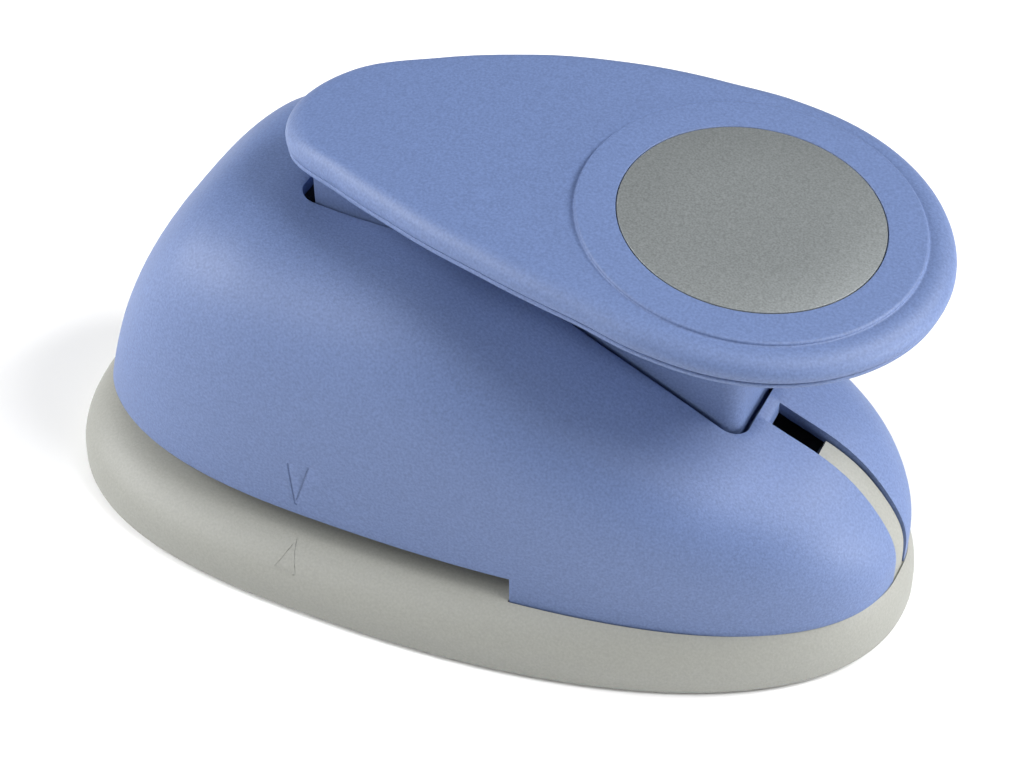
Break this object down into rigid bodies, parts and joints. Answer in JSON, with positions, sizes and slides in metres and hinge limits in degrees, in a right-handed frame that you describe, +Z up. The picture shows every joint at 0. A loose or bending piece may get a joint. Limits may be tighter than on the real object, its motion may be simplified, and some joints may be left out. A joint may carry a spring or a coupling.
{
  "type": "lever craft punch",
  "caption": "Oval lever-type craft punch: an egg-shaped press plate drives a spring-loaded round cutter through a die to cut circles from card.",
  "frame": {"origin": "middle of the whole outline, on the surface that the feet stand on", "axes": "+X towards the nose under the round pad, +Y to the far side, +Z up"},
  "size_m": [0.1817, 0.104, 0.0959],
  "materials": {
    "blue_plastic": "fine spark-eroded texture, soft sheen",
    "grey_plastic": "fine matt texture",
    "label_silver": "silver-grey foil with a fine speckle",
    "tool_steel": "ground and hardened",
    "cast_plate": "die-cast zinc, machined faces",
    "sheet_steel": "zinc plated",
    "pin_steel": "ground",
    "screw_steel": "zinc plated",
    "spring_steel": "drawn wire",
    "white_plastic": "natural acetal",
    "rubber": "matt black rubber"
  },
  "bodies": {
    "frame": {"base": "grey_plastic", "rubber_feet": "rubber", "die_plate": "tool_steel", "paper_spacer": "sheet_steel", "guide_plate": "cast_plate", "die_screws": "screw_steel", "rear_die_screws": "screw_steel", "pivot_bracket": "sheet_steel", "bracket_screws": "screw_steel", "pivot_pin": "pin_steel", "pivot_clips": "spring_steel", "upper_housing": "blue_plastic", "housing_screws": "screw_steel", "rear_housing_screws": "screw_steel", "guide_posts": "pin_steel", "return_springs": "spring_steel"},
    "lever": {"lever_cover": "blue_plastic", "lever_body": "blue_plastic", "lever_screws": "screw_steel", "shape_label": "label_silver", "pivot_bushes": "white_plastic", "roller_pin": "pin_steel", "stop_pad": "rubber"},
    "punch": {"punch_cutter": "tool_steel", "cutter_holder": "white_plastic", "cutter_screws": "screw_steel", "wear_strip": "sheet_steel"},
    "roller": {"press_roller": "pin_steel"}
  },
  "joints": [
    {"name": "lever_hinge", "type": "hinge", "parent": "frame", "child": "lever", "pos_m": [-0.0605, 0, 0.045], "axis": [0, 1, 0], "range_deg": [0, 7], "stiffness_Nm_per_rad": 6, "springref_deg": -6.88},
    {"name": "punch_slide", "type": "slide", "parent": "frame", "child": "punch", "axis": [0, 0, 1], "range_m": [-0.0045, 0], "stiffness_N_per_m": 900, "springref_m": 0.004, "deforming": ["return_springs"]},
    {"name": "roller_spin", "type": "hinge", "parent": "lever", "child": "roller", "pos_m": [-0.0245, 0, 0.0481], "axis": [0, 1, 0], "continuous": true}
  ],
  "couplings": [
    {"joint": "punch_slide", "follows": "lever_hinge", "m_per_rad": -0.036}
  ]
}
